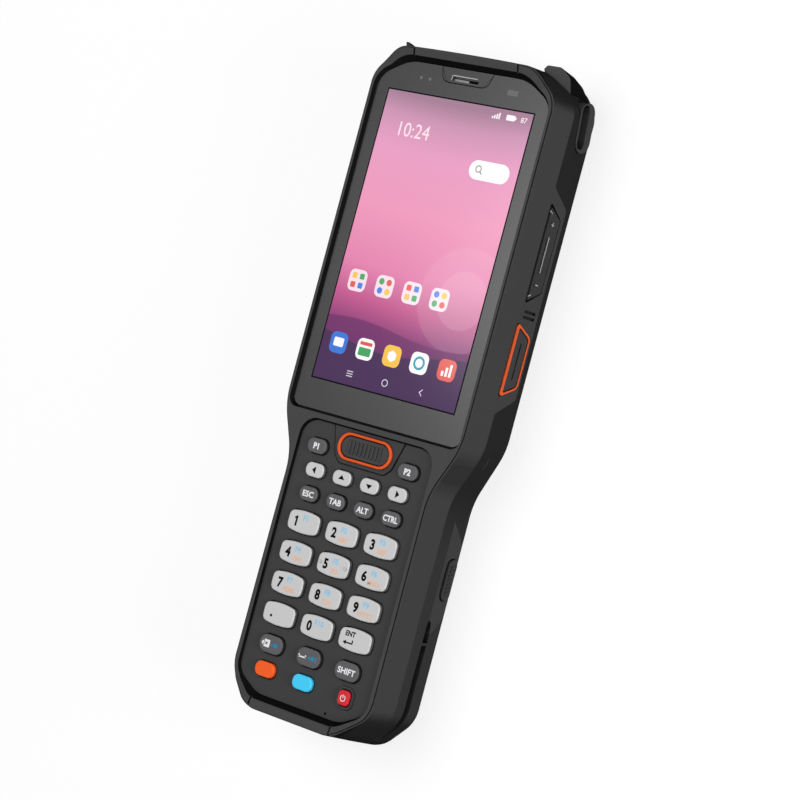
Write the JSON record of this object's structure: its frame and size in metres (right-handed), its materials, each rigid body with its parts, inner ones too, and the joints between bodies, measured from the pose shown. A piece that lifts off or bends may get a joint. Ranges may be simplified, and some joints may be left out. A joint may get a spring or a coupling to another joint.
{
  "type": "handheld barcode data terminal",
  "caption": "Handheld barcode data terminal with a touch screen head, a scan window, a numeric keypad handle, side triggers, a volume rocker and a latched battery.",
  "frame": {"origin": "middle of the outer box, on the plane the back rests on", "axes": "+Z out of the screen, +Y towards the scanning end, +X to the right-hand side as the screen is read"},
  "size_m": [0.0666, 0.2002, 0.0284],
  "materials": {
    "housing": "fine matte grain",
    "panel": "satin",
    "bezel": "gloss",
    "accent": "satin orange",
    "key_grey": "satin grey",
    "key_white": "satin white",
    "key_blue": "satin blue",
    "key_red": "satin red",
    "glass": "dark tint, gloss",
    "screen": "lit display",
    "frame": "milled",
    "board": "solder resist",
    "steel": "satin",
    "contact": "plated",
    "black": "matte"
  },
  "bodies": {
    "terminal": {"front_cover": "housing", "rear_cover": "housing", "top_end_cap": "housing", "bottom_end_cap": "housing", "corner_bumper_right": "housing", "corner_bumper_left": "housing", "keypad_panel": "panel", "earpiece_bezel": "bezel", "scan_key_ring": "accent", "trigger_ring_right": "accent", "trigger_ring_left": "accent", "touch_glass": "glass", "scan_window": "glass", "display_panel": "screen", "display_frame": "frame", "keypad_board": "board", "main_board": "board", "housing_screws": "steel", "earpiece_mesh": "steel", "port_connector": "steel", "charge_contacts": "contact", "scan_engine": "black", "camera_module": "black", "loudspeaker": "black"},
    "scan_key_body": {"scan_key": "key_grey"},
    "key_p1_body": {"key_p1": "key_grey"},
    "key_p2_body": {"key_p2": "key_grey"},
    "key_left_body": {"key_left": "key_white"},
    "key_up_body": {"key_up": "key_white"},
    "key_down_body": {"key_down": "key_white"},
    "key_right_body": {"key_right": "key_white"},
    "key_esc_body": {"key_esc": "key_grey"},
    "key_tab_body": {"key_tab": "key_grey"},
    "key_alt_body": {"key_alt": "key_grey"},
    "key_ctrl_body": {"key_ctrl": "key_grey"},
    "key_1_body": {"key_1": "key_white"},
    "key_2_body": {"key_2": "key_white"},
    "key_3_body": {"key_3": "key_white"},
    "key_4_body": {"key_4": "key_white"},
    "key_5_body": {"key_5": "key_white"},
    "key_6_body": {"key_6": "key_white"},
    "key_7_body": {"key_7": "key_white"},
    "key_8_body": {"key_8": "key_white"},
    "key_9_body": {"key_9": "key_white"},
    "key_dot_body": {"key_dot": "key_white"},
    "key_0_body": {"key_0": "key_white"},
    "key_enter_body": {"key_enter": "key_white"},
    "key_backspace_body": {"key_backspace": "key_grey"},
    "key_space_body": {"key_space": "key_grey"},
    "key_shift_body": {"key_shift": "key_grey"},
    "key_orange_body": {"key_orange": "accent"},
    "key_blue_body": {"key_blue": "key_blue"},
    "key_power_body": {"key_power": "key_red"},
    "side_trigger_right_body": {"side_trigger_right": "key_grey"},
    "side_trigger_left_body": {"side_trigger_left": "key_grey"},
    "volume_rocker_body": {"volume_rocker": "housing"},
    "battery_latch_right_body": {"battery_latch_right": "housing"},
    "battery_latch_left_body": {"battery_latch_left": "housing"},
    "battery_pack_body": {"battery_pack": "housing"}
  },
  "joints": [
    {"name": "battery_slide", "type": "slide", "parent": "terminal", "child": "battery_pack_body", "axis": [0, 0, -1], "range_m": [0, 0.014]},
    {"name": "volume_rock", "type": "hinge", "parent": "terminal", "child": "volume_rocker_body", "pos_m": [0.032, 0.04835, 0.0122], "axis": [0, 0, 1], "range_deg": [-1.2, 1.2], "stiffness_Nm_per_rad": 0.5},
    {"name": "side_trigger_right_press", "type": "slide", "parent": "terminal", "child": "side_trigger_right_body", "axis": [-1, 0, 0], "range_m": [0, 0.0008], "stiffness_N_per_m": 2000},
    {"name": "side_trigger_left_press", "type": "slide", "parent": "terminal", "child": "side_trigger_left_body", "axis": [1, 0, 0], "range_m": [0, 0.0008], "stiffness_N_per_m": 2000},
    {"name": "battery_latch_right_slide", "type": "slide", "parent": "terminal", "child": "battery_latch_right_body", "axis": [-1, 0, 0], "range_m": [0, 0.0012], "stiffness_N_per_m": 1500},
    {"name": "battery_latch_left_slide", "type": "slide", "parent": "terminal", "child": "battery_latch_left_body", "axis": [1, 0, 0], "range_m": [0, 0.0012], "stiffness_N_per_m": 1500},
    {"name": "scan_key_press", "type": "slide", "parent": "terminal", "child": "scan_key_body", "axis": [0, 0, -1], "range_m": [0, 0.0007], "stiffness_N_per_m": 2000},
    {"name": "key_p1_press", "type": "slide", "parent": "terminal", "child": "key_p1_body", "axis": [0, 0, -1], "range_m": [0, 0.0007], "stiffness_N_per_m": 2000},
    {"name": "key_p2_press", "type": "slide", "parent": "terminal", "child": "key_p2_body", "axis": [0, 0, -1], "range_m": [0, 0.0007], "stiffness_N_per_m": 2000},
    {"name": "key_left_press", "type": "slide", "parent": "terminal", "child": "key_left_body", "axis": [0, 0, -1], "range_m": [0, 0.0007], "stiffness_N_per_m": 2000},
    {"name": "key_up_press", "type": "slide", "parent": "terminal", "child": "key_up_body", "axis": [0, 0, -1], "range_m": [0, 0.0007], "stiffness_N_per_m": 2000},
    {"name": "key_down_press", "type": "slide", "parent": "terminal", "child": "key_down_body", "axis": [0, 0, -1], "range_m": [0, 0.0007], "stiffness_N_per_m": 2000},
    {"name": "key_right_press", "type": "slide", "parent": "terminal", "child": "key_right_body", "axis": [0, 0, -1], "range_m": [0, 0.0007], "stiffness_N_per_m": 2000},
    {"name": "key_esc_press", "type": "slide", "parent": "terminal", "child": "key_esc_body", "axis": [0, 0, -1], "range_m": [0, 0.0007], "stiffness_N_per_m": 2000},
    {"name": "key_tab_press", "type": "slide", "parent": "terminal", "child": "key_tab_body", "axis": [0, 0, -1], "range_m": [0, 0.0007], "stiffness_N_per_m": 2000},
    {"name": "key_alt_press", "type": "slide", "parent": "terminal", "child": "key_alt_body", "axis": [0, 0, -1], "range_m": [0, 0.0007], "stiffness_N_per_m": 2000},
    {"name": "key_ctrl_press", "type": "slide", "parent": "terminal", "child": "key_ctrl_body", "axis": [0, 0, -1], "range_m": [0, 0.0007], "stiffness_N_per_m": 2000},
    {"name": "key_1_press", "type": "slide", "parent": "terminal", "child": "key_1_body", "axis": [0, 0, -1], "range_m": [0, 0.0007], "stiffness_N_per_m": 2000},
    {"name": "key_2_press", "type": "slide", "parent": "terminal", "child": "key_2_body", "axis": [0, 0, -1], "range_m": [0, 0.0007], "stiffness_N_per_m": 2000},
    {"name": "key_3_press", "type": "slide", "parent": "terminal", "child": "key_3_body", "axis": [0, 0, -1], "range_m": [0, 0.0007], "stiffness_N_per_m": 2000},
    {"name": "key_4_press", "type": "slide", "parent": "terminal", "child": "key_4_body", "axis": [0, 0, -1], "range_m": [0, 0.0007], "stiffness_N_per_m": 2000},
    {"name": "key_5_press", "type": "slide", "parent": "terminal", "child": "key_5_body", "axis": [0, 0, -1], "range_m": [0, 0.0007], "stiffness_N_per_m": 2000},
    {"name": "key_6_press", "type": "slide", "parent": "terminal", "child": "key_6_body", "axis": [0, 0, -1], "range_m": [0, 0.0007], "stiffness_N_per_m": 2000},
    {"name": "key_7_press", "type": "slide", "parent": "terminal", "child": "key_7_body", "axis": [0, 0, -1], "range_m": [0, 0.0007], "stiffness_N_per_m": 2000},
    {"name": "key_8_press", "type": "slide", "parent": "terminal", "child": "key_8_body", "axis": [0, 0, -1], "range_m": [0, 0.0007], "stiffness_N_per_m": 2000},
    {"name": "key_9_press", "type": "slide", "parent": "terminal", "child": "key_9_body", "axis": [0, 0, -1], "range_m": [0, 0.0007], "stiffness_N_per_m": 2000},
    {"name": "key_dot_press", "type": "slide", "parent": "terminal", "child": "key_dot_body", "axis": [0, 0, -1], "range_m": [0, 0.0007], "stiffness_N_per_m": 2000},
    {"name": "key_0_press", "type": "slide", "parent": "terminal", "child": "key_0_body", "axis": [0, 0, -1], "range_m": [0, 0.0007], "stiffness_N_per_m": 2000},
    {"name": "key_enter_press", "type": "slide", "parent": "terminal", "child": "key_enter_body", "axis": [0, 0, -1], "range_m": [0, 0.0007], "stiffness_N_per_m": 2000},
    {"name": "key_backspace_press", "type": "slide", "parent": "terminal", "child": "key_backspace_body", "axis": [0, 0, -1], "range_m": [0, 0.0007], "stiffness_N_per_m": 2000},
    {"name": "key_space_press", "type": "slide", "parent": "terminal", "child": "key_space_body", "axis": [0, 0, -1], "range_m": [0, 0.0007], "stiffness_N_per_m": 2000},
    {"name": "key_shift_press", "type": "slide", "parent": "terminal", "child": "key_shift_body", "axis": [0, 0, -1], "range_m": [0, 0.0007], "stiffness_N_per_m": 2000},
    {"name": "key_orange_press", "type": "slide", "parent": "terminal", "child": "key_orange_body", "axis": [0, 0, -1], "range_m": [0, 0.0007], "stiffness_N_per_m": 2000},
    {"name": "key_blue_press", "type": "slide", "parent": "terminal", "child": "key_blue_body", "axis": [0, 0, -1], "range_m": [0, 0.0007], "stiffness_N_per_m": 2000},
    {"name": "key_power_press", "type": "slide", "parent": "terminal", "child": "key_power_body", "axis": [0, 0, -1], "range_m": [0, 0.0007], "stiffness_N_per_m": 2000}
  ]
}
